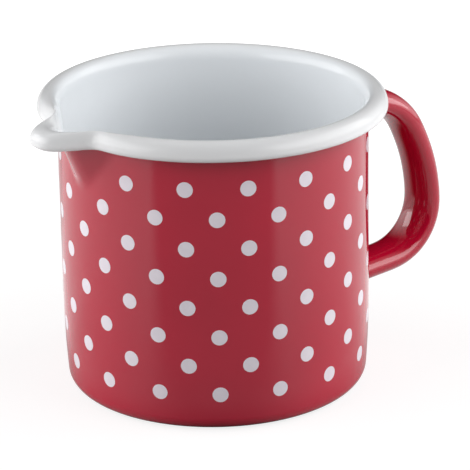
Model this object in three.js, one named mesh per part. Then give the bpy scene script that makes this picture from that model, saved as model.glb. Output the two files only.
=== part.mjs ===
// Enamel saucepan of the tall milk-pot kind: a drawn steel pot with a rolled rim and a pressed spout,
// a loop handle bent from oval tube and welded on, and the enamel coats fused over the steel.
// Millimetres, +Z up, +X towards the handle, the spout on -X.
// The origin is the centre of the base, on the surface that the pot stands on.
import * as THREE from 'three';

// Pot: a straight drawn wall on a flat base
const POT_RADIUS = 59.75; // outside of the red wall
const POT_HEIGHT = 116.9; // crest of the rim above the table, half way from spout to handle
const RIM_SLOPE = 0.0092; // fall of the rim for each mm from the spout towards the handle
const STEEL = 0.8; // sheet of the pot and of the handle
const ENAMEL = 0.25; // one fused coat
const BASE_CORNER = 6; // outside radius between base and wall
const TAPER_RADIUS = 430; // outside radius of the slow curve between that corner and the straight wall
const TAPER_TURN = 4; // degrees that the slow curve turns
const GROUND_COAT_TURN = 30; // degrees of the base corner that the dark ground coat covers

// Rim: the sheet flares over a round crest and is rolled under
const RIM_OVERHANG = 7.5; // from the wall out to the widest line of the roll
const RIM_CREST_INSET = 4.6; // from the widest line in to the crest
const RIM_RISE = 5.35; // from the widest line up to the crest
const ROLL_RADIUS = 2.2; // outside radius of the turned-under edge
const ROLL_TURN = 105; // degrees that the edge is turned under

// Spout: two flanks meet in a ridge on the wall, and the rim runs out round a beak
const SPOUT_REACH = 12.6; // from the rim's widest line out to the tip
const SPOUT_HALF_WIDTH = 9.6; // of the beak, round the wall
const SPOUT_FOOT_DROP = 29.4; // from the crest down to the foot of the ridge
const SPOUT_LEAN = 0.42; // outward lean of the ridge for each mm of height
const SPOUT_FLANK = 0.45; // fall of a flank for each mm away from the ridge
const BEAK_FULLNESS = 3; // exponent of the beak's outline: higher is blunter
const RIDGE_ROUND = 4; // half-width of the ridge's rounding
const FLANK_BLEND = 1.3; // softness of the bend where a flank leaves the wall
const LIP_DIP = 1.5; // drop of the crest at the tip, twice that of the roll
const RIM_PINCH = 4; // draw-in of the rim beside the spout
const RIM_PINCH_WIDTH = 18; // how far round the wall the draw-in and the dip fade

// Handle: a flat oval tube, bent round three corners.
// A bend lies out from the wall, and down from the crest or up from the table.
const HANDLE_WIDTH = 17.4; // across the loop
const HANDLE_DEPTH = 10; // from the side towards the pot to the back
const UPPER_END_DROP = 17; // from the crest down to the upper end
const LOWER_END_HEIGHT = 27.5; // of the lower end above the table
const TOP_BEND = { out: 28.9, drop: 20.7, radius: 26, steps: 6 };
const SIDE_BEND = { out: 41.85, height: 67.7, radius: 70, steps: 3 };
const LOW_BEND = { out: 45.5, height: 31.2, radius: 21.5, steps: 8 };

// Joints between the handle and the pot
const SEAT_GAP = 0.3; // clearance of the handle and its welds
const WELD_LEG = 2; // height and width of a weld fillet

// Facets: how many steps each stretch of a section takes, and how many columns go round the pot
const CORNER_STEPS = 2;
const TAPER_STEPS = 2;
const SPOUT_STEPS = 5;
const FLARE_STEPS = 3;
const RIM_STEPS = 4;
const ROLL_STEPS = 3;
const HANDLE_SIDE_STEPS = 4;
const WELD_STEPS = 3;
const SPOUT_COLUMNS = 20;
const ROUND_COLUMNS = 36;
const SPOUT_ZONE = 27; // half of the finely divided arc, round the wall

const { clamp, degToRad, euclideanModulo } = THREE.MathUtils;

// The sheet's middle line: the steel's faces lie half its thickness to each side, and the coats beyond
const halfSteel = STEEL / 2;
const halfSheet = halfSteel + ENAMEL;
const wallLine = POT_RADIUS - halfSheet;
const taperTurn = degToRad(TAPER_TURN);
const taperCentre = POT_RADIUS - TAPER_RADIUS;
const taperTop = BASE_CORNER + (TAPER_RADIUS - BASE_CORNER) * Math.sin(taperTurn);
const cornerCentre = taperCentre + (TAPER_RADIUS - BASE_CORNER) * Math.cos(taperTurn);
const rollLine = POT_HEIGHT - RIM_RISE;
const rimLine = POT_RADIUS + RIM_OVERHANG - halfSheet;
const crestRadius = POT_RADIUS + RIM_OVERHANG - RIM_CREST_INSET;
const crestRise = RIM_RISE - halfSheet;
const rollCentre = POT_RADIUS + RIM_OVERHANG - ROLL_RADIUS;
const spoutFoot = POT_HEIGHT - SPOUT_FOOT_DROP;
const seatRadius = POT_RADIUS + SEAT_GAP;

const point2 = (x, y) => new THREE.Vector2(x, y);
const listOf = (length, make) => Array.from({ length }, (_, i) => make(i));

// An angle brought to between minus and plus half a turn
function halfTurn(angle) {
  return euclideanModulo(angle + Math.PI, 2 * Math.PI) - Math.PI;
}

// Stations along a curve of the pot's section, without its first point, which the run before it ends on.
// The normal of each station points to the white side: inwards, up over the crest and round the roll.
function follow(curve, steps) {
  return listOf(steps, (i) => {
    const along = (i + 1) / steps;
    const tangent = curve.getTangent(along);
    return { at: curve.getPoint(along), normal: point2(-tangent.y, tangent.x) };
  });
}

function line(fromRadius, fromHeight, toRadius, toHeight) {
  return new THREE.LineCurve(point2(fromRadius, fromHeight), point2(toRadius, toHeight));
}

function arc(centreRadius, centreHeight, across, up, fromDegrees, toDegrees) {
  const [from, to] = [degToRad(fromDegrees), degToRad(toDegrees)];
  return new THREE.EllipseCurve(centreRadius, centreHeight, across, up, from, to, to < from);
}

// An arc of the sheet's middle line, given by the radius of its outside
function roundArc(centreRadius, centreHeight, outside, fromDegrees, toDegrees) {
  const radius = outside - halfSheet;
  return arc(centreRadius, centreHeight, radius, radius, fromDegrees, toDegrees);
}

function cornerArc(fromDegrees, toDegrees) {
  return roundArc(cornerCentre, BASE_CORNER, BASE_CORNER, fromDegrees, toDegrees);
}

// The pot's section from the middle of the base to the free edge of the roll
const groundEdge = GROUND_COAT_TURN - 90;
const baseRun = [
  { at: point2(0, halfSheet), normal: point2(0, 1) },
  ...follow(line(0, halfSheet, cornerCentre, halfSheet), 1),
  ...follow(cornerArc(-90, groundEdge), 1),
];
const wallRun = [
  ...follow(cornerArc(groundEdge, -TAPER_TURN), CORNER_STEPS),
  ...follow(roundArc(taperCentre, taperTop, TAPER_RADIUS, -TAPER_TURN, 0), TAPER_STEPS),
  ...follow(line(wallLine, taperTop, wallLine, spoutFoot), 1),
  ...follow(line(wallLine, spoutFoot, wallLine, rollLine), SPOUT_STEPS),
  ...follow(arc(crestRadius, rollLine, crestRadius - wallLine, crestRise, 180, 90), FLARE_STEPS),
];
const rimRun = [
  ...follow(arc(crestRadius, rollLine, rimLine - crestRadius, crestRise, 90, 0), RIM_STEPS),
  ...follow(roundArc(rollCentre, rollLine, ROLL_RADIUS, 0, -ROLL_TURN), ROLL_STEPS),
];
const wholeSection = [...baseRun, ...wallRun, ...rimRun];
const redSection = [baseRun.at(-1), ...wallRun];

// Columns round the pot, as angles from the spout, close together there
const spoutAngle = SPOUT_ZONE / POT_RADIUS;
const spoutStep = (2 * spoutAngle) / SPOUT_COLUMNS;
const roundStep = (2 * Math.PI - 2 * spoutAngle) / ROUND_COLUMNS;
const potColumns = [
  ...listOf(SPOUT_COLUMNS, (i) => i * spoutStep - spoutAngle),
  ...listOf(ROUND_COLUMNS, (i) => halfTurn(i * roundStep + spoutAngle)),
];

// Zero below -FLANK_BLEND, the value itself above FLANK_BLEND, and a smooth bend between
function softened(value) {
  if (value <= -FLANK_BLEND) return 0;
  if (value >= FLANK_BLEND) return value;
  return (value + FLANK_BLEND) ** 2 / (4 * FLANK_BLEND);
}

// Distance from the ridge with its edge rounded off
function fromRidge(round) {
  const away = Math.abs(round);
  return away < RIDGE_ROUND ? (away ** 2 + RIDGE_ROUND ** 2) / (2 * RIDGE_ROUND) : away;
}

// How far the spout pushes the sheet's middle line outwards, at an arc length round the wall from the ridge
function spoutPush(radius, height, round) {
  const flank = softened(SPOUT_LEAN * (height - spoutFoot) - SPOUT_FLANK * fromRidge(round));
  const outline = Math.exp(-((Math.abs(round) / SPOUT_HALF_WIDTH) ** BEAK_FULLNESS));
  const beak = (SPOUT_REACH + RIM_PINCH) * outline;
  const pinch = RIM_PINCH * Math.exp(-((round / RIM_PINCH_WIDTH) ** 2));
  const flared = clamp((radius - wallLine) / (rimLine - wallLine), 0, 1);
  const rimShare = flared * (2 - flared);
  return flank + (beak - pinch - flank) * rimShare;
}

// A point of the pot's sheet, which keeps its thickness where the spout presses it out
function potPoint({ at, normal }, offset, angle) {
  const round = POT_RADIUS * angle;
  const radius = at.x + offset * normal.x + spoutPush(at.x, at.y, round);
  const crestShare = clamp((at.y - rollLine) / crestRise, 0, 1);
  const dipShare = at.x > crestRadius ? (1 + crestShare) / 2 : crestShare;
  const dip = LIP_DIP * dipShare * Math.exp(-((round / RIM_PINCH_WIDTH) ** 2));
  const height = at.y + offset * normal.y - dip;
  const towardsHandle = -radius * Math.cos(angle);
  const fall = (RIM_SLOPE * towardsHandle * height) / POT_HEIGHT;
  return new THREE.Vector3(towardsHandle, -radius * Math.sin(angle), height - fall);
}

// A closed sheet between a front and a back grid of points that go round in columns of rows.
// Every quad is cut along the same diagonal, so that sheets which share a face share its triangles.
function sheetBetween(front, back) {
  const columns = front.length;
  const rows = front[0].length;
  const lastRow = rows - 1;
  const index = [];
  const frontAt = (column, row) => (column % columns) * rows + row;
  const backAt = (column, row) => columns * rows + frontAt(column, row);
  const quad = (a, b, c, d) => index.push(a, b, c, a, c, d);
  for (let i = 0; i < columns; i++) {
    for (let j = 0; j < lastRow; j++) {
      quad(frontAt(i, j), frontAt(i + 1, j), frontAt(i + 1, j + 1), frontAt(i, j + 1));
      quad(backAt(i, j), backAt(i, j + 1), backAt(i + 1, j + 1), backAt(i + 1, j));
    }
    quad(backAt(i, 0), backAt(i + 1, 0), frontAt(i + 1, 0), frontAt(i, 0));
    quad(frontAt(i, lastRow), frontAt(i + 1, lastRow), backAt(i + 1, lastRow), backAt(i, lastRow));
  }
  return new THREE.BufferGeometry().setFromPoints([...front.flat(), ...back.flat()]).setIndex(index);
}

// A layer of the pot between two offsets from the sheet's middle line
function potLayer(stations, outerOffset, innerOffset) {
  const grid = (offset) => potColumns.map((angle) => stations.map((s) => potPoint(s, offset, angle)));
  return sheetBetween(grid(outerOffset), grid(innerOffset));
}

// A route of straight runs between round bends, as stations with a heading.
// Neighbouring bends share out a run that is too short for both.
function bentRoute(start, bends, end) {
  const stops = [start, ...bends.map((bend) => bend.at), end];
  const runs = stops.slice(1).map((stop, i) => stop.clone().sub(stops[i]));
  const turns = bends.map((_, i) => halfTurn(runs[i + 1].angle() - runs[i].angle()));
  const wanted = bends.map((bend, i) => bend.radius * Math.tan(Math.abs(turns[i]) / 2));
  const room = runs.map((run, i) => run.length() / ((wanted[i - 1] ?? 0) + (wanted[i] ?? 0)));
  const left = (angle) => point2(-Math.sin(angle), Math.cos(angle));
  const rounded = bends.flatMap((bend, i) => {
    const setback = wanted[i] * Math.min(1, room[i], room[i + 1]);
    const radius = setback / Math.tan(turns[i] / 2);
    const heading = runs[i].angle();
    const entry = bend.at.clone().addScaledVector(runs[i].clone().normalize(), -setback);
    const centre = entry.addScaledVector(left(heading), radius);
    return listOf(bend.steps + 1, (step) => {
      const angle = heading + (turns[i] * step) / bend.steps;
      return { at: centre.clone().addScaledVector(left(angle), -radius), heading: angle };
    });
  });
  const first = { at: start, heading: runs[0].angle() };
  const last = { at: end, heading: runs.at(-1).angle() };
  return [first, ...rounded, last];
}

const handleRoute = bentRoute(
  point2(seatRadius, POT_HEIGHT - UPPER_END_DROP),
  [
    { ...TOP_BEND, at: point2(POT_RADIUS + TOP_BEND.out, POT_HEIGHT - TOP_BEND.drop) },
    { ...SIDE_BEND, at: point2(POT_RADIUS + SIDE_BEND.out, SIDE_BEND.height) },
    { ...LOW_BEND, at: point2(POT_RADIUS + LOW_BEND.out, LOW_BEND.height) },
  ],
  point2(seatRadius, LOWER_END_HEIGHT),
);

// The middle line of the tube's wall in section: x is towards the back, y across the loop
function handleSection() {
  const roundRadius = HANDLE_DEPTH / 2 - halfSheet;
  const flatHalf = (HANDLE_WIDTH - HANDLE_DEPTH) / 2;
  const side = (sign) => listOf(HANDLE_SIDE_STEPS + 1, (i) => {
    const swept = (Math.PI * i) / HANDLE_SIDE_STEPS;
    const angle = sign < 0 ? Math.PI - swept : swept;
    const normal = point2(Math.cos(angle), sign * Math.sin(angle));
    return { at: point2(0, sign * flatHalf).addScaledVector(normal, roundRadius), normal };
  });
  return [...side(-1), ...side(1)];
}

const handleRows = handleSection();

function handlePoint(station, row, offset) {
  const across = row.at.clone().addScaledVector(row.normal, offset);
  const radius = station.at.x - across.x * Math.sin(station.heading);
  const height = station.at.y + across.x * Math.cos(station.heading);
  return new THREE.Vector3(radius, across.y, height);
}

// Slides a point of a handle's end along its run until it meets the round wall
function ontoWall(point, heading) {
  const radius = Math.sqrt(seatRadius ** 2 - point.y ** 2);
  return new THREE.Vector3(radius, point.y, point.z + (radius - point.x) * Math.tan(heading));
}

// A layer of the handle between two offsets from the middle line of the tube's wall
function handleLayer(outerOffset, innerOffset) {
  const ends = [handleRoute[0], handleRoute.at(-1)];
  const grid = (offset) => handleRows.map((row) => handleRoute.map((station) => {
    const point = handlePoint(station, row, offset);
    return ends.includes(station) ? ontoWall(point, station.heading) : point;
  }));
  return sheetBetween(grid(innerOffset), grid(outerOffset));
}

// A hollow-faced weld fillet round an end of the handle. The handle leaves the wall along its route's
// heading at the upper end, and against it at the lower end.
function weldRing(station, outwards) {
  const inside = halfSheet + SEAT_GAP;
  const away = new THREE.Vector3(Math.cos(station.heading), 0, Math.sin(station.heading));
  const rows = outwards > 0 ? handleRows : [...handleRows].reverse();
  const filletPoint = (row, out, along) => {
    const foot = ontoWall(handlePoint(station, row, inside + out), station.heading);
    return foot.addScaledVector(away, outwards * along);
  };
  const face = rows.map((row) => listOf(WELD_STEPS + 1, (i) => {
    const angle = (Math.PI / 2) * (1 - i / WELD_STEPS);
    return filletPoint(row, WELD_LEG * (1 - Math.sin(angle)), WELD_LEG * (1 - Math.cos(angle)));
  }));
  const root = rows.map((row) => listOf(WELD_STEPS + 1, () => filletPoint(row, 0, 0)));
  return sheetBetween(face, root);
}

const finishes = {
  steel: { color: 0x8d9194, roughness: 0.45, metalness: 1 },
  white: { color: 0xdfe5ea, roughness: 0.12, metalness: 0 },
  red: { color: 0xa51f2e, roughness: 0.12, metalness: 0 },
  ground: { color: 0x1d1e22, roughness: 0.25, metalness: 0 },
};

const saucepan = new THREE.Group();
saucepan.name = 'enamel_saucepan';

function addPiece(name, geometry, finish) {
  const piece = new THREE.Mesh(geometry, new THREE.MeshStandardMaterial(finishes[finish]));
  piece.name = name;
  saucepan.add(piece);
}

addPiece('body_steel', potLayer(wholeSection, -halfSteel, halfSteel), 'steel');
addPiece('white_enamel', potLayer(wholeSection, halfSteel, halfSheet), 'white');
addPiece('red_enamel', potLayer(redSection, -halfSheet, -halfSteel), 'red');
addPiece('base_enamel', potLayer(baseRun, -halfSheet, -halfSteel), 'ground');
addPiece('handle_steel', handleLayer(halfSteel, -halfSteel), 'steel');
addPiece('handle_enamel', handleLayer(halfSheet, halfSteel), 'red');
addPiece('upper_weld', weldRing(handleRoute[0], 1), 'red');
addPiece('lower_weld', weldRing(handleRoute.at(-1), -1), 'red');

export default saucepan;
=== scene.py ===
"""Enamel saucepan: smooth enamel coats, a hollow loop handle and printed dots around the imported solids.

Laid out as an add-on and run as a script. Metres, +Z up, +X towards the handle, the spout on -X.
The origin is the centre of the base, on the surface that the pot stands on.
"""

import math

import bmesh
import bpy
import numpy as np
from bpy.props import FloatProperty, FloatVectorProperty, IntProperty, PointerProperty
from bpy.types import Operator, Panel, PropertyGroup
from mathutils import Matrix, Vector


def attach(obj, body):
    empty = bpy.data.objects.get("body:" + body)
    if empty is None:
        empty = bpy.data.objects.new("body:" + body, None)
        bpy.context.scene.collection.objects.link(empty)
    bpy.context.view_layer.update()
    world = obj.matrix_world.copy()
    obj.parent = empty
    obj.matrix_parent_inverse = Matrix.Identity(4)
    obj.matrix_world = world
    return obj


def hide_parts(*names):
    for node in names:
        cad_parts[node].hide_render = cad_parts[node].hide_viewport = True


bl_info = {
    "name": "Enamel Saucepan",
    "version": (1, 0, 0),
    "blender": (4, 5, 0),
    "location": "View3D > Sidebar > Saucepan",
    "description": "Builds the enamel coats, the handle and the dots of a saucepan, and its stage",
    "category": "Object",
}

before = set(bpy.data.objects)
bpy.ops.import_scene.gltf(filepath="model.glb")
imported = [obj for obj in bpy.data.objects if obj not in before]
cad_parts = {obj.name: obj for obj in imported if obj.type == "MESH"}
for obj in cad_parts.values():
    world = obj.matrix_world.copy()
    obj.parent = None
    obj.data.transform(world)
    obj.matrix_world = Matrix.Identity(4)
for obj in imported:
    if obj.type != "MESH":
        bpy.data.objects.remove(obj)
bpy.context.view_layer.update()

BODY = "root"

# How finely each stretch of the pot's section and of the handle is divided
BASE_STEPS = 6
GROUND_STEPS = 5
CORNER_STEPS = 9
TAPER_STEPS = 6
WALL_STEPS = 6
SPOUT_STEPS = 30
FLARE_STEPS = 10
RIM_STEPS = 14
ROLL_STEPS = 12
EDGE_STEPS = 6
SPOUT_COLUMNS = 120
ROUND_COLUMNS = 160
HANDLE_STATIONS = 160
HANDLE_SIDES = 64
FILLET_STEPS = 8
SHARP_ANGLE = math.radians(35)
DOT_SIDES = 24
DOT_RINGS = 3
MERGE_DISTANCE = 1e-7


def size(name, default, description):
    return FloatProperty(name=name, description=description, default=default, unit="LENGTH", precision=5)


def ratio(name, default, description):
    return FloatProperty(name=name, description=description, default=default)


def turn(name, degrees, description):
    return FloatProperty(
        name=name, description=description, default=math.radians(degrees), subtype="ANGLE"
    )


def power(name, default, description):
    return FloatProperty(name=name, description=description, default=default, unit="POWER")


def colour(name, default, description):
    return FloatVectorProperty(
        name=name, description=description, default=default, subtype="COLOR", min=0, max=1
    )


class PotSizes(PropertyGroup):
    radius: size("Wall radius", 0.05975, "Outside of the red wall")
    height: size("Height", 0.1169, "Crest of the rim above the table, half way from spout to handle")
    rim_slope: ratio("Rim slope", 0.0092, "Fall of the rim from the spout towards the handle")
    steel: size("Steel", 0.0008, "Thickness of the steel sheet")
    enamel: size("Enamel", 0.00025, "Thickness of one fused coat")
    base_corner: size("Base corner", 0.006, "Outside radius between base and wall")
    taper_radius: size("Taper radius", 0.43, "Radius of the slow curve between corner and straight wall")
    taper_turn: turn("Taper", 4, "How far the slow curve turns")
    ground_turn: turn("Ground coat", 30, "How much of the base corner the dark ground coat covers")
    rim_overhang: size("Rim overhang", 0.0075, "From the wall out to the widest line of the roll")
    crest_inset: size("Crest inset", 0.0046, "From the widest line in to the crest")
    rim_rise: size("Rim rise", 0.00535, "From the widest line up to the crest")
    roll_radius: size("Roll radius", 0.0022, "Outside radius of the turned-under edge")
    roll_turn: turn("Roll", 105, "How far the edge is turned under")


class SpoutSizes(PropertyGroup):
    reach: size("Reach", 0.0126, "From the rim's widest line out to the tip")
    half_width: size("Half width", 0.0096, "Half of the beak, round the wall")
    foot_drop: size("Foot drop", 0.0294, "From the crest down to the foot of the ridge")
    lean: ratio("Lean", 0.42, "Outward lean of the ridge for each unit of height")
    flank: ratio("Flank", 0.45, "Fall of a flank for each unit away from the ridge")
    fullness: ratio("Fullness", 3, "Exponent of the beak's outline: higher is blunter")
    ridge_round: size("Ridge rounding", 0.006, "Half-width of the ridge's rounding")
    flank_blend: size("Flank blend", 0.0013, "Softness of the bend where a flank leaves the wall")
    lip_dip: size("Lip dip", 0.0015, "Drop of the crest at the tip, twice that of the roll")
    pinch: size("Rim pinch", 0.004, "Draw-in of the rim beside the spout")
    pinch_width: size("Pinch width", 0.018, "How far round the wall the draw-in and the dip fade")
    zone: size("Fine zone", 0.027, "Half of the finely divided arc, round the wall")


class HandleSizes(PropertyGroup):
    width: size("Width", 0.0186, "Across the loop")
    depth: size("Depth", 0.0107, "From the side towards the pot to the back")
    squareness: ratio("Squareness", 2.05, "Exponent of the oval section: 2 is an ellipse")
    upper_drop: size("Upper end", 0.017, "From the crest down to the upper end")
    lower_height: size("Lower end", 0.0275, "Height of the lower end above the table")
    top_out: size("Top bend out", 0.0289, "Top bend's corner, out from the wall")
    top_drop: size("Top bend drop", 0.0207, "Top bend's corner, down from the crest")
    top_radius: size("Top bend radius", 0.026, "Radius of the top bend")
    side_out: size("Side bend out", 0.04185, "Side bend's corner, out from the wall")
    side_height: size("Side bend height", 0.0677, "Side bend's corner above the table")
    side_radius: size("Side bend radius", 0.070, "Radius of the side bend")
    low_out: size("Low bend out", 0.0455, "Low bend's corner, out from the wall")
    low_height: size("Low bend height", 0.0312, "Low bend's corner above the table")
    low_radius: size("Low bend radius", 0.0215, "Radius of the low bend")
    easing: size("Bend easing", 0.008, "Length over which a bend's curvature comes and goes")
    seat_sink: size("Seat sink", 0.0003, "How far the ends go into the wall's enamel")
    fillet: size("Fillet", 0.002, "Height and width of the weld fillets")
    fillet_sink: size("Fillet sink", 0.0002, "How far the fillets overlap handle and wall")


class DotSizes(PropertyGroup):
    columns: IntProperty(name="Columns", description="Columns of dots round the pot", default=32)
    rows: IntProperty(name="Rows", description="Dots in one column", default=4)
    diameter: size("Diameter", 0.0061, "Diameter of a dot")
    lowest: size("Lowest row", 0.0156, "Height of the lowest dots above the table")
    pitch: size("Row pitch", 0.0233, "Height between the dots of one column")
    lift: size("Lift", 0.00003, "How far a dot stands proud of the wall")
    sink: size("Sink", 0.0001, "How far a dot reaches into the wall's enamel")
    clearance: size("Clearance", 0.008, "Nearest that a dot's middle comes to the ridge or a handle end")


class EnamelColours(PropertyGroup):
    red: colour("Red wall", (0.485, 0.0105, 0.036), "Enamel of the wall")
    handle: colour("Handle", (0.45, 0.004, 0.028), "Enamel of the handle")
    white: colour("White", (0.81, 0.837, 0.862), "Enamel of the lining")
    # The rim's grey: the white enamel is thinner over the rim, and partly painted shade darkens the rim
    # against the lining
    rim: colour("Rim", (0.735, 0.74, 0.75), "White enamel where it is thin, over the rim")
    # The rim's edge colour is painted light: lighter along the rim's lower edge, as if lit from below
    edge: colour("Rim edge", (0.93, 0.93, 0.94), "White enamel that pooled along the rim's lower edge")
    ground: colour("Ground", (0.012, 0.013, 0.018), "Ground coat under the base")
    speckle: colour("Speckle", (0.3, 0.31, 0.33), "Specks in the ground coat")
    dots: colour("Dots", (0.86, 0.8, 0.87), "Printed dots")


class StageSettings(PropertyGroup):
    azimuth: turn("Azimuth", -35, "Camera round the object, from the front")
    elevation: turn("Elevation", 20.39, "Camera above the horizon")
    roll: turn("Roll", -1, "Camera about its own line of sight")
    distance: size("Distance", 1.128, "Camera from its target")
    aside: size("Aside", 0.007755, "Target to the right of the pot's axis")
    target_height: size("Target height", 0.05743, "Target above the table")
    lens: FloatProperty(name="Lens", description="Focal length", default=221.97, unit="CAMERA")
    floor: ratio("Floor", 0.6, "Share of light that the floor gives back")
    shadow: ratio("Shadow", 0.25, "Share of the floor's light that the camera sees and a shadow takes")
    floor_near: ratio("White near the object", 0.8, "Added to the floor for the camera, by the object")
    floor_far: ratio("White further out", 1, "Added to the floor for the camera, away from the object")
    side_mirror: ratio("Mirrored sides", 0.64, "Added to the floor at the sides in reflections")
    front_mirror: ratio("Mirrored front", 0.34, "Added to the floor on the camera's side in reflections")
    back_mirror: ratio("Mirrored back", 0.62, "Added to the floor behind the object in reflections")
    front: ratio("Dim front", 0.3, "Share of the floor's light that comes from the camera's side")
    front_start: size("Front start", 0.033, "Where the dim front starts, from the pot's axis")
    front_blur: size("Front blur", 0.03, "Width of the dim front's edge")
    world: ratio("World", 0.2, "Light from all round")
    sky: ratio("Sky", 2.5, "White at the sides in reflections")
    left_power: power("Left box", 8.5, "Soft box at the left")
    right_power: power("Right box", 8.9, "Soft box at the right")
    top_power: power("Top box", 0.3, "Soft box overhead")
    box_width: size("Box width", 1.4, "Soft boxes from side to side")
    box_height: size("Box height", 0.6, "Soft boxes from edge to edge")
    box_distance: size("Box distance", 0.9, "Soft boxes from the object")
    box_turn: turn("Box turn", 80, "Side boxes to both sides of the camera")
    left_rise: turn("Left box rise", 24, "Left box above the horizon")
    right_rise: turn("Right box rise", 29, "Right box above the horizon")


SETTINGS = {
    "saucepan_pot": PotSizes,
    "saucepan_spout": SpoutSizes,
    "saucepan_handle": HandleSizes,
    "saucepan_dots": DotSizes,
    "saucepan_colours": EnamelColours,
    "saucepan_stage": StageSettings,
}


# Clouds and orange peel of all the enamels
CLOUD_DETAIL = 2
PEEL_DETAIL = 1
PEEL_STRENGTH = 0.12
PEEL_DEPTH = 0.00004


# Node trees


def socket_of(sockets, key):
    """A node's socket by its index, or by its name among those that its settings leave in use."""
    if isinstance(key, int):
        return sockets[key]
    return next(socket for socket in sockets if socket.name == key and socket.enabled)


class Field:
    """A node's output that takes part in Python arithmetic: each operator adds one Math node."""

    def __init__(self, graph, node, key=0):
        self.graph = graph
        self.node = node
        self.socket = socket_of(node.outputs, key) if node.outputs else None

    def output(self, key):
        return Field(self.graph, self.node, key)

    def math(self, operation, *operands):
        sockets = dict(enumerate(operands))
        return self.graph.node("ShaderNodeMath", {"operation": operation}, sockets)

    def __add__(self, other):
        return self.math("ADD", self, other)

    def __radd__(self, other):
        return self.math("ADD", other, self)

    def __sub__(self, other):
        return self.math("SUBTRACT", self, other)

    def __rsub__(self, other):
        return self.math("SUBTRACT", other, self)

    def __mul__(self, other):
        return self.math("MULTIPLY", self, other)

    def __rmul__(self, other):
        return self.math("MULTIPLY", other, self)

    def __truediv__(self, other):
        return self.math("DIVIDE", self, other)

    def __mod__(self, other):
        return self.math("FLOORED_MODULO", self, other)

    def __lt__(self, other):
        return self.math("LESS_THAN", self, other)

    def __abs__(self):
        return self.math("ABSOLUTE", self)


class Graph:
    """A node tree that is being built."""

    def __init__(self, tree):
        self.tree = tree

    def node(self, kind, settings=None, sockets=None, key=0):
        """Adds a node, makes its settings, then fills its sockets with values or links."""
        node = self.tree.nodes.new(kind)
        for name, value in (settings or {}).items():
            setattr(node, name, value)
        self.fill(node, sockets or {})
        return Field(self, node, key)

    def smooth(self, value, low, high, start=0.0, end=1.0):
        """Start below low, end above high, and a smooth step between."""
        sockets = {"Value": value, "From Min": low, "From Max": high, "To Min": start, "To Max": end}
        return self.node("ShaderNodeMapRange", {"interpolation_type": "SMOOTHSTEP"}, sockets)

    def measure(self, operation, first, second=None, key="Value"):
        """One vector operation on one or two vectors."""
        sockets = {0: first} if second is None else {0: first, 1: second}
        return self.node("ShaderNodeVectorMath", {"operation": operation}, sockets, key)

    def fill(self, node, sockets):
        for name, value in sockets.items():
            socket = socket_of(node.inputs, name)
            if isinstance(value, Field):
                self.tree.links.new(value.socket, socket)
            else:
                socket.default_value = value


class Finish(Graph):
    """A material with one Principled shader, whose patterns lie in Object coordinates."""

    def __init__(self, name, **constants):
        self.material = bpy.data.materials.new(name)
        self.material.use_nodes = True
        super().__init__(self.material.node_tree)
        self.shader = self.tree.nodes["Principled BSDF"]
        self.place = self.node("ShaderNodeTexCoord", key="Object")
        self.finish(**constants)

    def noise(self, scale, detail=CLOUD_DETAIL):
        sockets = {"Vector": self.place, "Scale": scale, "Detail": detail}
        return self.node("ShaderNodeTexNoise", None, sockets)

    def height(self):
        return self.node("ShaderNodeSeparateXYZ", None, {0: self.place}, "Z")

    def out(self):
        """Distance from the pot's axis."""
        flat = self.measure("MULTIPLY", self.place, (1, 1, 0), "Vector")
        return self.measure("LENGTH", flat)

    def mix(self, factor, first, second):
        sockets = {"Factor": factor, "A": first, "B": second}
        return self.node("ShaderNodeMix", {"data_type": "RGBA"}, sockets, "Result")

    def clouded(self, cloud, rgb, shades):
        """A colour that goes from its first shade to its second with the clouds."""
        return self.mix(cloud, *(opaque(rgb, shade) for shade in shades))

    def bump(self, height, strength, distance):
        sockets = {"Height": height, "Strength": strength, "Distance": distance}
        return self.node("ShaderNodeBump", None, sockets)

    def orange_peel(self, scale):
        return self.bump(self.noise(scale, PEEL_DETAIL), PEEL_STRENGTH, PEEL_DEPTH)

    def finish(self, **sockets):
        """Fills the shader's sockets, named with underscores for spaces, and gives the material."""
        self.fill(self.shader, {name.replace("_", " "): value for name, value in sockets.items()})
        return self.material


def opaque(rgb, share=1.0):
    return (*(share * part for part in rgb), 1.0)


# Enamel finishes: clouds, peel, specks and scuffs are scales, in cells for each metre.
# Shades are shares of the colour, and dulling is the roughness that the pattern adds.

ENAMEL_IOR = 1.52

RED_CLOUDS = 24
RED_SHADES = (0.9, 1.1)
RED_PEEL = 420
RED_ROUGHNESS = 0.05
RED_DULLING = 0.05
# The coloured enamel turns darker towards the bottom: its darkest shade, and the greatest share of it
BOTTOM_SHADE = 0.35
BOTTOM_SHARE = 0.55

WHITE_GLOSS = 0.22
WHITE_CLOUDS = 16
WHITE_SHADES = (0.97, 1.02)
WHITE_PEEL = 380
WHITE_ROUGHNESS = 0.12
WHITE_DULLING = 0.06

SPECKS = 700
SPECK_CORE = 0.12
SPECK_EDGE = 0.2
SPECK_SHARE = 0.8
SCUFFS = 130
SCUFF_DETAIL = 6
SCUFF_STRENGTH = 0.15
SCUFF_DEPTH = 0.0001
GROUND_ROUGHNESS = 0.15
GROUND_DULLING = 0.3

DOT_CLOUDS = 300
DOT_SHADES = (0.95, 1.03)
DOT_ROUGHNESS = 0.12
DOT_DULLING = 0.08


def coloured_enamel(name, rgb, darker_below):
    """Glossy coloured enamel: slightly cloudy, with a faint orange peel, darker low on the pot."""
    finish = Finish(name, IOR=ENAMEL_IOR)
    cloud = finish.noise(RED_CLOUDS)
    body = finish.clouded(cloud, rgb, RED_SHADES)
    # Darker towards the bottom of the pot
    darkening = finish.smooth(finish.height(), 0, darker_below, BOTTOM_SHARE, 0)
    return finish.finish(
        Base_Color=finish.mix(darkening, body, opaque(rgb, BOTTOM_SHADE)),
        Roughness=RED_ROUGHNESS + RED_DULLING * cloud,
        Normal=finish.orange_peel(RED_PEEL),
    )


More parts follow.
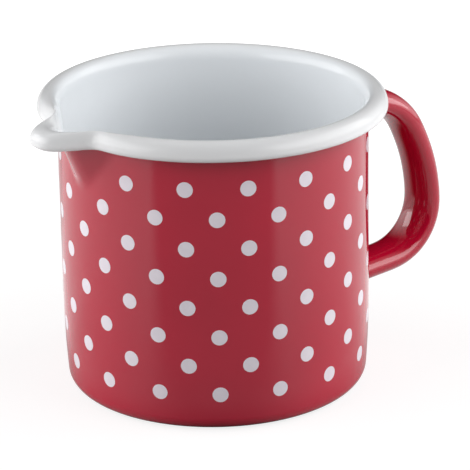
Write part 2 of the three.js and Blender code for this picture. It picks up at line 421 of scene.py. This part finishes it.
def white_enamel(name, colours, darkening, painted_light_band):
    """Glossy white enamel with faint clouds and a faint orange peel.
    Outwards between two given distances from the axis it turns into the rim's grey: the white enamel is
    thinner over the rim, and the grey is partly painted shade that darkens the rim against the lining.
    Downwards between two given heights the rim's grey turns into a lighter edge, which is painted light
    along the rim's lower edge."""
    finish = Finish(name, IOR=ENAMEL_IOR, Specular_IOR_Level=WHITE_GLOSS)
    cloud = finish.noise(WHITE_CLOUDS)
    lining = finish.clouded(cloud, colours.white, WHITE_SHADES)
    # Painted light: the rim's grey turns lighter low on the roll
    edge = finish.smooth(finish.height(), *painted_light_band, 1, 0)
    # The rim's grey is partly painted shade, and lower down it turns into the painted light edge
    rim = finish.mix(edge, opaque(colours.rim), opaque(colours.edge))
    return finish.finish(
        Base_Color=finish.mix(finish.smooth(finish.out(), *darkening), lining, rim),
        Roughness=WHITE_ROUGHNESS + WHITE_DULLING * cloud,
        Normal=finish.orange_peel(WHITE_PEEL),
    )


def ground_enamel(name, rgb, speck_rgb):
    """Dark ground coat with fine pale specks and a scuffed sheen."""
    finish = Finish(name, IOR=ENAMEL_IOR)
    cells = finish.node("ShaderNodeTexVoronoi", None, {"Vector": finish.place, "Scale": SPECKS})
    speck = finish.smooth(cells, SPECK_CORE, SPECK_EDGE, SPECK_SHARE, 0)
    scuff = finish.noise(SCUFFS, SCUFF_DETAIL)
    return finish.finish(
        Base_Color=finish.mix(speck, opaque(rgb), opaque(speck_rgb)),
        Roughness=GROUND_ROUGHNESS + GROUND_DULLING * scuff,
        Normal=finish.bump(scuff, SCUFF_STRENGTH, SCUFF_DEPTH),
    )


def printed_dot(name, rgb):
    """Fired print: white, a little less glossy than the enamel, with faint clouds."""
    finish = Finish(name, IOR=ENAMEL_IOR)
    cloud = finish.noise(DOT_CLOUDS)
    return finish.finish(
        Base_Color=finish.clouded(cloud, rgb, DOT_SHADES),
        Roughness=DOT_ROUGHNESS + DOT_DULLING * cloud,
    )


# Meshes


def ring_mesh(name, grid, material, rows_closed):
    """A closed mesh over a grid of columns and rows that goes round in its columns.
    It also goes round in its rows, or else its first and last row are each one point."""
    columns, rows = grid.shape[:2]
    row_starts = rows if rows_closed else rows - 1
    column, row = np.meshgrid(np.arange(columns), np.arange(row_starts), indexing="ij")
    next_column = (column + 1) % columns
    next_row = (row + 1) % rows
    corners = [(column, row), (next_column, row), (next_column, next_row), (column, next_row)]
    quads = np.stack([c * rows + r for c, r in corners], axis=-1).reshape(-1, 4)
    mesh = bpy.data.meshes.new(name)
    mesh.from_pydata(grid.reshape(-1, 3).tolist(), [], quads.tolist())
    shell = bmesh.new()
    shell.from_mesh(mesh)
    bmesh.ops.remove_doubles(shell, verts=shell.verts, dist=MERGE_DISTANCE)
    bmesh.ops.recalc_face_normals(shell, faces=shell.faces)
    shell.to_mesh(mesh)
    shell.free()
    mesh.shade_smooth()
    mesh.set_sharp_from_angle(angle=SHARP_ANGLE)
    mesh.materials.append(material)
    piece = bpy.data.objects.new(name, mesh)
    bpy.context.scene.collection.objects.link(piece)
    return piece


def fix_piece(piece, slot, *nodes):
    """Rides a finished piece on the pot, in the place of the solids that it stands for."""
    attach(piece, BODY)
    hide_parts(*nodes)


def straight(start, end, steps):
    """Stations of a section along a line, without its start: radius, height and the left-hand normal."""
    start, end = np.array(start), np.array(end)
    heading = (end - start) / np.linalg.norm(end - start)
    points = start + np.linspace(0, 1, steps + 1)[1:, None] * (end - start)
    normals = np.tile((-heading[1], heading[0]), (steps, 1))
    return np.hstack((points, normals))


def curved(centre, across, up, start, end, steps):
    """Stations of a section along an elliptic arc, without its start."""
    angle = np.linspace(start, end, steps + 1)[1:]
    points = np.column_stack((across * np.cos(angle), up * np.sin(angle))) + centre
    tangents = np.column_stack((-across * np.sin(angle), up * np.cos(angle))) * np.sign(end - start)
    tangents /= np.linalg.norm(tangents, axis=1, keepdims=True)
    return np.hstack((points, -tangents[:, 1:], tangents[:, :1]))


def offset(stations, distance):
    """Points at a distance to the left of stations."""
    return stations[:, :2] + distance * stations[:, 2:]


def layer(stations, distance):
    """Profile points at a distance to the left of stations, each with its point of the middle line."""
    return np.hstack((offset(stations, distance), stations[:, :2]))


class PotSheet:
    """The pot's sheet: its middle line in section, and how the spout presses it out."""

    def __init__(self, pot, spout):
        self.pot, self.spout = pot, spout
        self.half = pot.steel / 2 + pot.enamel
        self.wall = pot.radius - self.half
        self.roll_height = pot.height - pot.rim_rise
        self.rim = pot.radius + pot.rim_overhang - self.half
        self.crest_rise = pot.rim_rise - self.half
        self.crest = pot.radius + pot.rim_overhang - pot.crest_inset
        self.spout_foot = pot.height - spout.foot_drop
        taper_inset = pot.taper_radius - pot.base_corner
        self.taper_top = pot.base_corner + taper_inset * math.sin(pot.taper_turn)
        self.columns = self.angles()
        self.base, self.side, self.lip = self.section()

    def angles(self):
        """Columns round the pot, as angles from the spout, close together there."""
        zone = self.spout.zone / self.pot.radius
        fine = np.linspace(-zone, zone, SPOUT_COLUMNS, endpoint=False)
        coarse = np.linspace(zone, 2 * math.pi - zone, ROUND_COLUMNS, endpoint=False)
        return np.concatenate((fine, (coarse + math.pi) % (2 * math.pi) - math.pi))

    def section(self):
        """Stations of the base, of the side up to the crest, and of the lip to its free edge."""
        pot = self.pot
        taper = (pot.radius - pot.taper_radius, self.taper_top)
        taper_radius = pot.taper_radius - self.half
        inset = (pot.taper_radius - pot.base_corner) * math.cos(pot.taper_turn)
        corner = (taper[0] + inset, pot.base_corner)
        corner_radius = pot.base_corner - self.half
        ground_edge = pot.ground_turn - math.pi / 2
        crest = (self.crest, self.roll_height)
        roll_radius = pot.roll_radius - self.half
        middle = np.array([[0, self.half, 0, 1]])
        base = [
            middle,
            straight((0, self.half), (corner[0], self.half), BASE_STEPS),
            curved(corner, corner_radius, corner_radius, -math.pi / 2, ground_edge, GROUND_STEPS),
        ]
        side = [
            curved(corner, corner_radius, corner_radius, ground_edge, -pot.taper_turn, CORNER_STEPS),
            curved(taper, taper_radius, taper_radius, -pot.taper_turn, 0, TAPER_STEPS),
            straight((self.wall, self.taper_top), (self.wall, self.spout_foot), WALL_STEPS),
            straight((self.wall, self.spout_foot), (self.wall, self.roll_height), SPOUT_STEPS),
            curved(crest, crest[0] - self.wall, self.crest_rise, math.pi, math.pi / 2, FLARE_STEPS),
        ]
        roll_centre = (self.rim - roll_radius, self.roll_height)
        lip = [
            curved(crest, self.rim - crest[0], self.crest_rise, math.pi / 2, 0, RIM_STEPS),
            curved(roll_centre, roll_radius, roll_radius, 0, -pot.roll_turn, ROLL_STEPS),
        ]
        return np.vstack(base), np.vstack(side), np.vstack(lip)

    def free_edge(self):
        """The half round that closes the sheet's free edge, from its white side to its other side."""
        end = self.lip[-1]
        forward = np.array((end[3], -end[2]))
        swing = np.linspace(0, math.pi, EDGE_STEPS + 2)[1:-1, None]
        points = end[:2] + self.half * (np.cos(swing) * end[2:] + np.sin(swing) * forward)
        return np.hstack((points, np.tile(end[:2], (EDGE_STEPS, 1))))

    def push(self, radius, height, around):
        """How far the spout presses the middle line out, at an arc length round from its ridge."""
        spout = self.spout
        away = np.abs(around)
        rounded = (away**2 + spout.ridge_round**2) / (2 * spout.ridge_round)
        from_ridge = np.where(away < spout.ridge_round, rounded, away)
        bare = spout.lean * (height - self.spout_foot) - spout.flank * from_ridge
        blended = np.clip(bare + spout.flank_blend, 0, None) ** 2 / (4 * spout.flank_blend)
        flank = np.where(bare < spout.flank_blend, blended, bare)
        beak = (spout.reach + spout.pinch) * np.exp(-((away / spout.half_width) ** spout.fullness))
        pinch = spout.pinch * np.exp(-((around / spout.pinch_width) ** 2))
        flared = np.clip((radius - self.wall) / (self.rim - self.wall), 0, 1)
        return flank + (beak - pinch - flank) * flared * (2 - flared)

    def grid(self, profile):
        """Points of a profile carried round the pot, as columns of rows."""
        radius, height, mid_radius, mid_height = profile.T[:, None, :]
        angle = self.columns[:, None]
        around = self.pot.radius * angle
        crest_share = np.clip((mid_height - self.roll_height) / self.crest_rise, 0, 1)
        dip_share = np.where(mid_radius > self.crest, (1 + crest_share) / 2, crest_share)
        dip = self.spout.lip_dip * dip_share * np.exp(-((around / self.spout.pinch_width) ** 2))
        pressed = radius + self.push(mid_radius, mid_height, around)
        towards_handle = -pressed * np.cos(angle)
        level = (height - dip) * (1 - self.pot.rim_slope * towards_handle / self.pot.height)
        return np.stack((towards_handle, -pressed * np.sin(angle), level), axis=-1)


class HandleTube:
    """The handle's route in the plane through the spout, and its oval section."""

    def __init__(self, pot, handle):
        self.handle = handle
        self.seat = pot.radius - handle.seat_sink
        self.wall_thickness = pot.steel + 2 * pot.enamel
        self.points, self.headings = self.eased_route(pot)
        self.rows = self.oval()

    def eased_route(self, pot):
        """Points and headings of the loop from its upper to its lower end."""
        handle = self.handle
        stops = np.array([
            (self.seat, pot.height - handle.upper_drop),
            (pot.radius + handle.top_out, pot.height - handle.top_drop),
            (pot.radius + handle.side_out, handle.side_height),
            (pot.radius + handle.low_out, handle.low_height),
            (self.seat, handle.lower_height),
        ])
        radii = np.array([handle.top_radius, handle.side_radius, handle.low_radius])
        # A bend takes a setback off the runs at both sides, and two bends share a run that is too short
        runs = np.diff(stops, axis=0)
        lengths = np.hypot(*runs.T)
        run_headings = np.unwrap(np.arctan2(runs[:, 1], runs[:, 0]))
        turns = np.diff(run_headings)
        wanted = radii * np.tan(np.abs(turns) / 2)
        room = lengths / (np.append(wanted, 0) + np.append(0, wanted))
        setbacks = wanted * np.minimum(1, np.minimum(room[:-1], room[1:]))
        arcs = setbacks / np.tan(np.abs(turns) / 2) * np.abs(turns)
        straights = lengths - np.append(setbacks, 0) - np.append(0, setbacks)
        # Straights and arcs take turns along the route, and the heading changes evenly along an arc
        spans = np.empty(2 * len(turns) + 1)
        spans[0::2], spans[1::2] = straights, arcs
        marks = np.append(0, np.cumsum(spans))
        along = np.linspace(0, marks[-1], HANDLE_STATIONS)
        heading_marks = np.repeat(run_headings, 2)
        # The headings are smoothed, added up to points, and stretched back onto the lower end
        step = along[1]
        window = np.hanning(2 * int(handle.easing / step) + 3)
        reach = len(window) // 2
        headings = np.interp(along, marks, heading_marks)
        padded = np.pad(headings, reach, mode="edge")
        eased = np.convolve(padded, window / window.sum(), mode="valid")
        middle = (eased[1:] + eased[:-1]) / 2
        strides = step * np.column_stack((np.cos(middle), np.sin(middle)))
        points = stops[0] + np.vstack((np.zeros(2), np.cumsum(strides, axis=0)))
        points += np.linspace(0, 1, HANDLE_STATIONS)[:, None] * (stops[-1] - points[-1])
        return points, eased

    def oval(self):
        """The section's outline and its normals: x towards the back, y across the loop."""
        power = 2 / self.handle.squareness
        angle = np.linspace(0, 2 * math.pi, HANDLE_SIDES, endpoint=False)
        cosine, sine = np.cos(angle), np.sin(angle)
        half = np.array((self.handle.depth, self.handle.width)) / 2
        unit = np.column_stack((
            np.sign(cosine) * np.abs(cosine) ** power,
            np.sign(sine) * np.abs(sine) ** power,
        ))
        normals = np.sign(unit) * np.abs(unit) ** (self.handle.squareness - 1) / half
        normals /= np.linalg.norm(normals, axis=1, keepdims=True)
        return np.hstack((unit * half, normals))

    def skin(self, distance):
        """Points of the tube's skin at a distance out from it, as columns round the section."""
        section = offset(self.rows, distance)
        across = section[:, None, :]
        heading = self.headings[None, :]
        radius = self.points[None, :, 0] - across[..., 0] * np.sin(heading)
        height = self.points[None, :, 1] + across[..., 0] * np.cos(heading)
        grid = np.stack((radius, np.broadcast_to(across[..., 1], radius.shape), height), axis=-1)
        for end in (0, -1):
            grid[:, end] = self.onto_wall(grid[:, end], self.headings[end])
        return grid

    def onto_wall(self, points, heading):
        """Slides points of an end along its run until they meet the round wall."""
        radius = np.sqrt(self.seat**2 - points[:, 1] ** 2)
        height = points[:, 2] + (radius - points[:, 0]) * math.tan(heading)
        return np.column_stack((radius, points[:, 1], height))

    def fillet(self, end, outwards):
        """A hollow-faced fillet round an end, as columns round the section."""
        heading = self.headings[end]
        away = outwards * np.array((math.cos(heading), 0, math.sin(heading)))
        leg, sink = self.handle.fillet, self.handle.fillet_sink
        swing = np.linspace(math.pi / 2, 0, FILLET_STEPS + 1)
        out = np.append(leg * (1 - np.sin(swing)), -sink)
        along = np.append(leg * (1 - np.cos(swing)), -sink)
        rows = [
            self.skin(distance)[:, end] + lift * away
            for distance, lift in zip(out, along)
        ]
        return np.stack(rows, axis=1)


def pot_sheet(context):
    return PotSheet(context.scene.saucepan_pot, context.scene.saucepan_spout)


def handle_tube(context):
    return HandleTube(context.scene.saucepan_pot, context.scene.saucepan_handle)


# Operators


class SAUCEPAN_OT_lining(Operator):
    """Makes the white coat inside the pot, over the rim and round the roll"""

    bl_idname = "saucepan.lining"
    bl_label = "White lining and rim"

    def execute(self, context):
        sheet = pot_sheet(context)
        whole = np.vstack((sheet.base, sheet.side, sheet.lip))
        crest = sheet.side[-1:]
        profile = np.vstack((
            layer(whole, sheet.half),
            sheet.free_edge(),
            layer(np.vstack((crest, sheet.lip)), -sheet.half)[::-1],
            layer(np.vstack((sheet.base, sheet.side)), 0)[::-1],
        ))
        pot = context.scene.saucepan_pot
        # Radii over which the lining turns into the rim's grey, which is partly painted shade
        darkening = (pot.radius, sheet.crest)
        # Heights of the painted light along the rim's lower edge
        painted_light_band = (sheet.roll_height - pot.roll_radius, sheet.roll_height + 2 * pot.roll_radius)
        material = white_enamel("white_enamel", context.scene.saucepan_colours, darkening, painted_light_band)
        piece = ring_mesh("white_coat", sheet.grid(profile), material, rows_closed=False)
        fix_piece(piece, "white_enamel", "white_enamel", "body_steel")
        return {"FINISHED"}


class SAUCEPAN_OT_wall(Operator):
    """Makes the red coat on the outside wall"""

    bl_idname = "saucepan.wall"
    bl_label = "Red wall"

    def execute(self, context):
        sheet = pot_sheet(context)
        stations = np.vstack((sheet.base[-1:], sheet.side))
        profile = np.vstack((layer(stations, -sheet.half), layer(stations, 0)[::-1]))
        # Height below which the red turns darker
        darker_below = context.scene.saucepan_pot.base_corner / 2
        material = coloured_enamel("red_enamel", context.scene.saucepan_colours.red, darker_below)
        piece = ring_mesh("red_coat", sheet.grid(profile), material, rows_closed=True)
        fix_piece(piece, "red_enamel", "red_enamel")
        return {"FINISHED"}


class SAUCEPAN_OT_base(Operator):
    """Makes the dark ground coat under the base"""

    bl_idname = "saucepan.base"
    bl_label = "Base"

    def execute(self, context):
        sheet = pot_sheet(context)
        profile = np.vstack((layer(sheet.base, -sheet.half), layer(sheet.base, 0)[::-1]))
        colours = context.scene.saucepan_colours
        material = ground_enamel("ground_enamel", colours.ground, colours.speckle)
        piece = ring_mesh("base_coat", sheet.grid(profile), material, rows_closed=False)
        fix_piece(piece, "ground_enamel", "base_enamel")
        return {"FINISHED"}


class SAUCEPAN_OT_handle(Operator):
    """Makes the hollow loop handle and the weld fillets round its ends"""

    bl_idname = "saucepan.handle"
    bl_label = "Handle and welds"

    def execute(self, context):
        tube = handle_tube(context)
        # Height below which the enamel turns darker
        darker_below = context.scene.saucepan_pot.base_corner / 2
        material = coloured_enamel("handle_enamel", context.scene.saucepan_colours.handle, darker_below)
        skins = np.concatenate((tube.skin(0), tube.skin(-tube.wall_thickness)[:, ::-1]), axis=1)
        piece = ring_mesh("handle_tube", skins, material, rows_closed=True)
        fix_piece(piece, "handle_enamel", "handle_enamel", "handle_steel")
        for name, node, end, outwards in (
            ("upper_fillet", "upper_weld", 0, 1),
            ("lower_fillet", "lower_weld", -1, -1),
        ):
            piece = ring_mesh(name, tube.fillet(end, outwards), material, rows_closed=True)
            fix_piece(piece, "handle_enamel", node)
        return {"FINISHED"}


class SAUCEPAN_OT_dots(Operator):
    """Prints staggered white dots round the wall"""

    bl_idname = "saucepan.dots"
    bl_label = "Dots"

    def execute(self, context):
        material = printed_dot("dot_print", context.scene.saucepan_colours.dots)
        piece = bpy.data.objects.new("dots", bpy.data.meshes.new("dots"))
        context.scene.collection.objects.link(piece)
        modifier = piece.modifiers.new("Dots", "NODES")
        modifier.node_group = dot_tree(material)
        for name, value in self.inputs(context).items():
            socket = modifier.node_group.interface.items_tree[name]
            modifier[socket.identifier] = value
        depsgraph = context.evaluated_depsgraph_get()
        piece.data = bpy.data.meshes.new_from_object(piece.evaluated_get(depsgraph))
        piece.modifiers.remove(modifier)
        piece.data.set_sharp_from_angle(angle=SHARP_ANGLE)
        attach(piece, BODY)
        return {"FINISHED"}

    def inputs(self, context):
        """Sizes for the dots' node tree. The spout's ridge takes the top place of a raised column."""
        pot = context.scene.saucepan_pot
        dots = context.scene.saucepan_dots
        handle = context.scene.saucepan_handle
        ridge_height = dots.lowest + (dots.rows - 0.5) * dots.pitch
        return {
            "Columns": dots.columns,
            "Rows": dots.rows,
            "Diameter": dots.diameter,
            "Lowest": dots.lowest,
            "Pitch": dots.pitch,
            "Lift": dots.lift,
            "Sink": dots.sink,
            "Clearance": dots.clearance,
            "Wall Radius": pot.radius,
            "Taper Radius": pot.taper_radius,
            "Taper Top": pot_sheet(context).taper_top,
            "Ridge Height": ridge_height,
            "Upper End": pot.height - handle.upper_drop,
            "Lower End": handle.lower_height,
        }


def dot_tree(material):
    """Geometry nodes that lay out dots on the unrolled wall and wrap them round it.
    On the unrolled wall x is round the pot from the ridge, y is out of the wall and z is up."""
    tree = bpy.data.node_groups.new("Dots on the wall", "GeometryNodeTree")
    tree.interface.new_socket("Geometry", in_out="OUTPUT", socket_type="NodeSocketGeometry")
    for name in ("Columns", "Rows"):
        tree.interface.new_socket(name, in_out="INPUT", socket_type="NodeSocketInt")
    lengths = ("Diameter", "Lowest", "Pitch", "Lift", "Sink", "Clearance")
    places = ("Wall Radius", "Taper Radius", "Taper Top", "Ridge Height", "Upper End", "Lower End")
    for name in lengths + places:
        tree.interface.new_socket(name, in_out="INPUT", socket_type="NodeSocketFloat")
    graph = Graph(tree)
    given = graph.node("NodeGroupInput").output

    def vector(x, y, z):
        return graph.node("ShaderNodeCombineXYZ", None, {0: x, 1: y, 2: z})

    index = graph.node("GeometryNodeInputIndex")
    row = index % given("Rows")
    column = (index - row) / given("Rows")
    half_turn = math.pi * given("Wall Radius")
    around = 2 * half_turn * column / given("Columns") - half_turn
    stagger = 0.5 - 0.5 * (column % 2)
    height = given("Lowest") + given("Pitch") * (row + stagger)
    place = vector(around, 0, height)
    count = given("Columns") * given("Rows")
    points = graph.node("GeometryNodePoints", None, {"Count": count, "Position": place})

    def near(x, z):
        return graph.measure("DISTANCE", place, vector(x, 0, z)) < given("Clearance")

    taken = near(0, given("Ridge Height")) + near(-1 * half_turn, given("Upper End"))
    taken = taken + near(-1 * half_turn, given("Lower End"))
    free = graph.node(
        "GeometryNodeDeleteGeometry",
        {"domain": "POINT"},
        {"Geometry": points, "Selection": taken},
    )
    disc = graph.node(
        "GeometryNodeMeshCylinder",
        None,
        {
            "Vertices": DOT_SIDES,
            "Fill Segments": DOT_RINGS,
            "Radius": given("Diameter") / 2,
            "Depth": given("Lift") + given("Sink"),
        },
    )
    shift = vector(0, (given("Lift") - given("Sink")) / 2, 0)
    upright = graph.node(
        "GeometryNodeTransform",
        None,
        {"Geometry": disc, "Translation": shift, "Rotation": (-math.pi / 2, 0, 0)},
    )
    laid = graph.node("GeometryNodeInstanceOnPoints", None, {"Points": free, "Instance": upright})
    real = graph.node("GeometryNodeRealizeInstances", None, {"Geometry": laid})
    flat = graph.node("ShaderNodeSeparateXYZ", None, {0: graph.node("GeometryNodeInputPosition")})
    angle = flat / given("Wall Radius")
    below = flat.math("MAXIMUM", given("Taper Top") - flat.output("Z"), 0)
    draw_in = below * below / (2 * given("Taper Radius"))
    radius = given("Wall Radius") + flat.output("Y") - draw_in
    wrapped = vector(
        -1 * radius * angle.math("COSINE", angle),
        radius * angle.math("SINE", angle),
        flat.output("Z"),
    )
    bent = graph.node("GeometryNodeSetPosition", None, {"Geometry": real, "Position": wrapped})
    smooth = graph.node("GeometryNodeSetShadeSmooth", None, {"Geometry": bent})
    coated = graph.node("GeometryNodeSetMaterial", None, {"Geometry": smooth, "Material": material})
    graph.node("NodeGroupOutput", None, {0: coated})
    return tree


# Stage: distances on the floor are from the pot's axis
FLOOR_REACH = 6  # half of the floor's side
WHITE_FROM = 0.08  # the floor starts to turn white for the camera
WHITE_TO = 0.4  # and is white
CLEAR_FROM = 0.052  # the floor starts to shine in reflections
CLEAR_TO = 0.085  # and shines fully
FAR_FROM = 0.26  # from here on, the floor's sides have their own shine in reflections
BACK_FROM = 0.05  # this far behind the axis, the floor counts as the back
BACK_SHADE = 0.3  # share by which the dull patch under the pot reaches further at the back
SKY_FROM = 0.25  # sideways part of a direction at which the sky starts to shine
TOP_RISE = math.radians(80)  # the top box above the horizon
CLIP_END = 50  # the camera sees no further


class SAUCEPAN_OT_stage(Operator):
    """Adds the floor, the world, the soft boxes and the camera"""

    bl_idname = "saucepan.stage"
    bl_label = "Stage"

    def execute(self, context):
        stage = context.scene.saucepan_stage
        context.scene.view_settings.view_transform = "Standard"
        self.add_floor(context, stage)
        self.light_world(context, stage)
        self.add_soft_boxes(context, stage)
        self.add_camera(context, stage)
        return {"FINISHED"}

    def add_floor(self, context, stage):
        """A pale floor: white for the camera but for the shadow.
        Reflections and bounced light find it dim in front, and reflections find it dark close behind."""
        mesh = bpy.data.meshes.new("floor")
        corners = [(-FLOOR_REACH, -FLOOR_REACH, 0), (FLOOR_REACH, -FLOOR_REACH, 0)]
        corners += [(-x, -y, z) for x, y, z in corners]
        mesh.from_pydata(corners, [], [(0, 1, 2, 3)])
        finish = Finish("floor", Roughness=1, Specular_IOR_Level=0, Emission_Strength=1)
        finish.material.cycles.emission_sampling = "NONE"
        rays = finish.node("ShaderNodeLightPath")
        seen = rays.output("Is Camera Ray")
        glossy = rays.output("Is Glossy Ray")
        forward = finish.measure("DOT_PRODUCT", finish.place, direction(stage.azimuth, 0))
        across = finish.measure("DOT_PRODUCT", finish.place, rightward(stage.azimuth))
        beside = abs(across) - abs(forward) + stage.front_start
        side = finish.smooth(beside, -stage.front_blur, stage.front_blur)
        out = finish.out()
        far = finish.smooth(out, CLEAR_FROM, FAR_FROM)
        behind = finish.smooth(forward, -BACK_FROM, 0, 1, 0)
        middle = stage.front_mirror + (stage.back_mirror - stage.front_mirror) * behind
        mirrored = middle + (stage.side_mirror - middle) * side * far
        bounced = stage.floor * (stage.front + (1 - stage.front) * side)
        white = finish.smooth(out, WHITE_FROM, WHITE_TO, stage.floor_near, stage.floor_far)
        clear = finish.smooth(out + BACK_SHADE * forward * behind, CLEAR_FROM, CLEAR_TO)
        shaded = bounced * (1 - glossy * behind * (1 - clear))
        mesh.materials.append(finish.finish(
            Base_Color=finish.mix(seen, shaded, opaque([stage.shadow] * 3)),
            Emission_Color=seen * white + glossy * mirrored * clear,
        ))
        floor = bpy.data.objects.new("floor", mesh)
        context.scene.collection.objects.link(floor)

    def light_world(self, context, stage):
        """Even light, white for the camera, and in reflections a sky that shines at both sides."""
        world = bpy.data.worlds.new("studio")
        world.use_nodes = True
        graph = Graph(world.node_tree)
        rays = graph.node("ShaderNodeLightPath")
        heading = graph.node("ShaderNodeTexCoord", key="Generated")
        across = graph.measure("DOT_PRODUCT", heading, rightward(stage.azimuth))
        sky = graph.smooth(abs(across), SKY_FROM, 1, 0, stage.sky)
        level = rays.output("Is Glossy Ray") * (sky - stage.world) + stage.world
        seen = rays.output("Is Camera Ray")
        graph.fill(world.node_tree.nodes["Background"], {"Color": level.math("MAXIMUM", level, seen)})
        context.scene.world = world

    def add_soft_boxes(self, context, stage):
        """A box at each side of the camera and one overhead, all turned to the object."""
        boxes = (
            ("left_box", -stage.box_turn, stage.left_rise, stage.left_power),
            ("right_box", stage.box_turn, stage.right_rise, stage.right_power),
            ("top_box", math.pi, TOP_RISE, stage.top_power),
        )
        for name, turned, rise, watts in boxes:
            back = direction(stage.azimuth + turned, rise)
            light = bpy.data.lights.new(name, "AREA")
            light.shape = "RECTANGLE"
            light.size = stage.box_width
            light.size_y = stage.box_height
            light.energy = watts
            lamp = bpy.data.objects.new(name, light)
            lamp.location = Vector((0, 0, stage.target_height)) + stage.box_distance * back
            lamp.rotation_euler = (-back).to_track_quat("-Z", "Y").to_euler()
            lamp.visible_camera = False
            context.scene.collection.objects.link(lamp)

    def add_camera(self, context, stage):
        back = direction(stage.azimuth, stage.elevation)
        right = rightward(stage.azimuth)
        up = back.cross(right)
        turned = Matrix((right, up, back)).transposed() @ Matrix.Rotation(stage.roll, 3, "Z")
        target = stage.aside * right + Vector((0, 0, stage.target_height))
        data = bpy.data.cameras.new("camera")
        data.lens = stage.lens
        data.clip_end = CLIP_END
        camera = bpy.data.objects.new("camera", data)
        camera.matrix_world = Matrix.Translation(target + stage.distance * back) @ turned.to_4x4()
        context.scene.collection.objects.link(camera)
        context.scene.camera = camera


def direction(azimuth, elevation):
    """From the object towards a viewer at an azimuth round it from the front."""
    level = math.cos(elevation)
    return Vector((math.sin(azimuth) * level, -math.cos(azimuth) * level, math.sin(elevation)))


def rightward(azimuth):
    """To the right of a viewer at an azimuth."""
    return Vector((math.cos(azimuth), math.sin(azimuth), 0))


OPERATORS = (
    SAUCEPAN_OT_lining,
    SAUCEPAN_OT_wall,
    SAUCEPAN_OT_base,
    SAUCEPAN_OT_handle,
    SAUCEPAN_OT_dots,
    SAUCEPAN_OT_stage,
)


class SAUCEPAN_PT_sidebar(Panel):
    """Lists the saucepan's sizes, colours and pieces"""

    bl_idname = "SAUCEPAN_PT_sidebar"
    bl_label = "Enamel Saucepan"
    bl_space_type = "VIEW_3D"
    bl_region_type = "UI"
    bl_category = "Saucepan"

    def draw(self, context):
        for name, group in SETTINGS.items():
            box = self.layout.box()
            for key in group.__annotations__:
                box.prop(getattr(context.scene, name), key)
        for operator in OPERATORS:
            self.layout.operator(operator.bl_idname)


CLASSES = (*SETTINGS.values(), *OPERATORS, SAUCEPAN_PT_sidebar)


def register():
    for cls in CLASSES:
        bpy.utils.register_class(cls)
    for name, group in SETTINGS.items():
        setattr(bpy.types.Scene, name, PointerProperty(type=group))


def unregister():
    for name in SETTINGS:
        delattr(bpy.types.Scene, name)
    for cls in reversed(CLASSES):
        bpy.utils.unregister_class(cls)


def main():
    register()
    bpy.ops.saucepan.lining()
    bpy.ops.saucepan.wall()
    bpy.ops.saucepan.base()
    bpy.ops.saucepan.handle()
    bpy.ops.saucepan.dots()
    bpy.ops.saucepan.stage()


if __name__ == "__main__":
    main()
